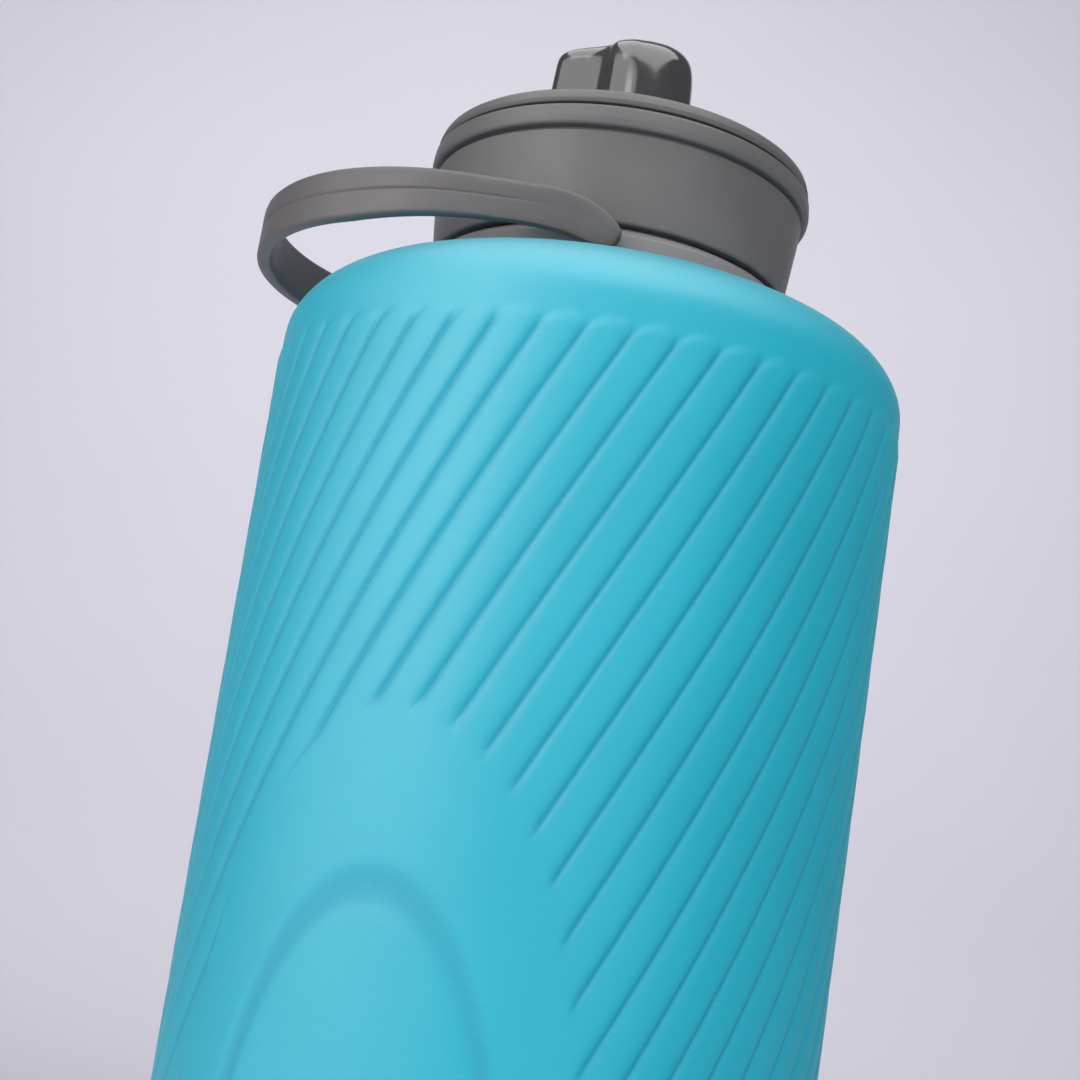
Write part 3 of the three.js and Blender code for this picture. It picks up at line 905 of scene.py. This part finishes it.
def soft_body_material():
    """Satin turquoise soft plastic: painted shade in the grooves, faintly mottled, with a fine
    grain.
    """
    material, shader = new_material("soft_turquoise", (0.02, 0.46, 0.57), 0.45, 1.0)
    shader.inputs["Coat Weight"].default_value = 0.4
    shader.inputs["Coat Roughness"].default_value = 0.5
    tree = material.node_tree
    raised = tree.nodes.new("ShaderNodeAttribute")
    raised.attribute_name = "clear_of_groove"
    mottle = remap(tree, noise(tree, 45), 0, 1)
    face = mix_colours(tree, mottle, (0.001, 0.48, 0.625), (0.002, 0.51, 0.665))
    # The darker groove colour is painted shade, mixed in where clear_of_groove falls to 0.
    colour = mix_colours(tree, raised.outputs["Fac"], (0.0, 0.35, 0.51), face)
    tree.links.new(colour, shader.inputs["Base Color"])
    satin = remap(tree, noise(tree, 900), 0.47, 0.55)
    dull = tree.nodes.new("ShaderNodeMath")
    dull.operation = "MULTIPLY_ADD"
    tree.links.new(raised.outputs["Fac"], dull.inputs[0])
    dull.inputs[1].default_value = -GROOVE_DULLNESS
    tree.links.new(add(tree, satin, GROOVE_DULLNESS), dull.inputs[2])
    tree.links.new(dull.outputs["Value"], shader.inputs["Roughness"])
    add_bump(tree, shader, noise(tree, 3500), 0.00003, 0.5)
    return material


def grained_material(
    name, dark, light, roughness, grain=2600, depth=0.00004, specular=0.5, coat=0.0
):
    """Moulded plastic or rubber with a fine spark-eroded grain and faint handling marks."""
    material, shader = new_material(name, light, roughness, specular)
    shader.inputs["Coat Weight"].default_value = coat
    shader.inputs["Coat Roughness"].default_value = 0.1
    tree = material.node_tree
    cloud = remap(tree, noise(tree, 70, 3), 0, 1)
    tree.links.new(mix_colours(tree, cloud, dark, light), shader.inputs["Base Color"])
    marks = remap(tree, noise(tree, 260, 4, 0.65), roughness - 0.05, roughness + 0.06)
    tree.links.new(marks, shader.inputs["Roughness"])
    add_bump(tree, shader, noise(tree, grain), depth, 0.6)
    return material


# ---------------------------------------------------------------- stage and light
FLOOR_HALF_WIDTH = 0.8  # metres, as are all the sizes and places of the stage
FLOOR_FRONT = -0.9
BEND_START = 0.95
BEND_RADIUS = 0.2
BACKDROP_TOP = 2.2


def cyclorama():
    """A pale floor that sweeps up into a backdrop behind the bottle."""
    curve = [(FLOOR_FRONT, 0.0)]
    for a in np.radians(np.arange(0, 91, 7.5)):
        y = BEND_START + BEND_RADIUS * math.sin(a)
        curve.append((y, BEND_RADIUS - BEND_RADIUS * math.cos(a)))
    curve.append((BEND_START + BEND_RADIUS, BACKDROP_TOP))
    points = [(x, y, z) for y, z in curve for x in (-FLOOR_HALF_WIDTH, FLOOR_HALF_WIDTH)]
    faces = [(2 * i, 2 * i + 1, 2 * i + 3, 2 * i + 2) for i in range(len(curve) - 1)]
    sweep = make_mesh("floor", np.array(points) / MM, faces)
    material, shader = new_material("pale_floor", (0.62, 0.61, 0.67), 0.9, 0.2)
    tree = material.node_tree
    tone = remap(tree, noise(tree, 3), 0, 1)
    colour = mix_colours(tree, tone, (0.61, 0.6, 0.66), (0.63, 0.62, 0.68))
    tree.links.new(colour, shader.inputs["Base Color"])
    sweep.data.materials.append(material)


def area_light(name, place, target, size, power, mirrored=True, spread=True):
    """A soft box; one not mirrored gives no highlight, and one not spread gives only highlights."""
    data = bpy.data.lights.new(name, "AREA")
    data.shape = "RECTANGLE"
    data.size, data.size_y = size
    data.energy = power
    light = bpy.data.objects.new(name, data)
    bpy.context.collection.objects.link(light)
    light.location = place
    aim = Vector(target) - Vector(place)
    light.rotation_euler = aim.to_track_quat("-Z", "Y").to_euler()
    light.visible_glossy = mirrored
    light.visible_diffuse = spread


def studio_world():
    """Pale to the eye, but dimmer as a light, so that the side away from the key stays dark."""
    world = bpy.data.worlds.new("studio")
    world.use_nodes = True
    tree = world.node_tree
    seen = tree.nodes["Background"]
    seen.inputs["Color"].default_value = (0.62, 0.61, 0.69, 1)
    lit = tree.nodes.new("ShaderNodeBackground")
    lit.inputs["Color"].default_value = (0.63, 0.62, 0.7, 1)
    lit.inputs["Strength"].default_value = 0.2
    path = tree.nodes.new("ShaderNodeLightPath")
    mix = tree.nodes.new("ShaderNodeMixShader")
    tree.links.new(path.outputs["Is Camera Ray"], mix.inputs["Fac"])
    tree.links.new(lit.outputs["Background"], mix.inputs[1])
    tree.links.new(seen.outputs["Background"], mix.inputs[2])
    tree.links.new(mix.outputs["Shader"], tree.nodes["World Output"].inputs["Surface"])
    bpy.context.scene.world = world


def set_the_stage():
    cyclorama()
    middle = (0, 0, 0.2)
    area_light("key", (-1.02, -0.7, 0.42), middle, (1.6, 1.5), 10.3)
    area_light("window", (-0.68, -0.72, 0.6), middle, (0.3, 0.5), 1.5)
    area_light("top", (0.35, -0.1, 1.0), middle, (0.8, 0.8), 1.8, mirrored=False)
    area_light("sheen", (-0.1, -0.2, 1.1), middle, (1.3, 1.1), 9, spread=False)
    area_light("fill", (0.5, -1.3, 0.15), middle, (1.0, 1.0), 12, mirrored=False)
    area_light("backdrop_wash", (0, 0.35, 0.7), (0, 1.15, 0.3), (1.4, 1.2), 7.2, mirrored=False)
    studio_world()
    bpy.context.scene.view_settings.view_transform = "Standard"


# ---------------------------------------------------------------- assembly
def place(piece, material, body, slot, *nodes):
    """Finishes a piece: its material, the body it rides on and the CAD nodes it stands for."""
    piece.data.materials.append(material)
    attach(piece, body)
    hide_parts(*nodes)
    return piece


turquoise = soft_body_material()
cap_grey = grained_material("cap_grey", (0.147, 0.142, 0.142), (0.173, 0.167, 0.167), 0.45)
handle_grey = grained_material("handle_grey", (0.132, 0.123, 0.125), (0.157, 0.147, 0.149), 0.45)
neck_grey = grained_material("neck_grey", (0.4, 0.4, 0.41), (0.44, 0.44, 0.45), 0.4)
# The collar is the strap's rubber, made lighter as painted light for the shade under the cap's
# skirt.
collar_rubber_painted_light = grained_material("collar_rubber_painted_light", (0.25, 0.245, 0.247), (0.285, 0.279, 0.281), 0.4)
knob_grey = grained_material(
    "knob_grey",
    (0.045, 0.045, 0.047),
    (0.055, 0.055, 0.057),
    0.13,
    grain=900,
    depth=0.00001,
    specular=1.0,
    coat=0.5,
)
seal_black = grained_material("seal_black", (0.03, 0.03, 0.032), (0.045, 0.045, 0.048), 0.6)

skin = place(body_skin(), turquoise, "bottle_body", "soft_body", "body_shell")
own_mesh(skin)

place(neck_piece(), neck_grey, "neck", "neck_plastic", "neck_insert")
place(collar_piece(), collar_rubber_painted_light, "collar", "handle_rubber", "handle_collar")
place(strap_piece(), handle_grey, "strap", "handle_rubber", "handle_strap")
place(gasket_piece(), seal_black, "cap_carriage", "seal_rubber", "cap_gasket")
place(cap_shell_piece(), cap_grey, "cap", "cap_plastic", "cap_shell")
place(cap_deck_piece(), cap_grey, "cap", "cap_plastic", "cap_deck")
place(stem_piece(), neck_grey, "cap", "neck_plastic", "spout_stem")
place(ring_seal_piece(), seal_black, "knob_carriage", "seal_rubber", "stem_o_ring")
place(knob_piece(), knob_grey, "knob", "knob_plastic", "twist_knob")

set_the_stage()
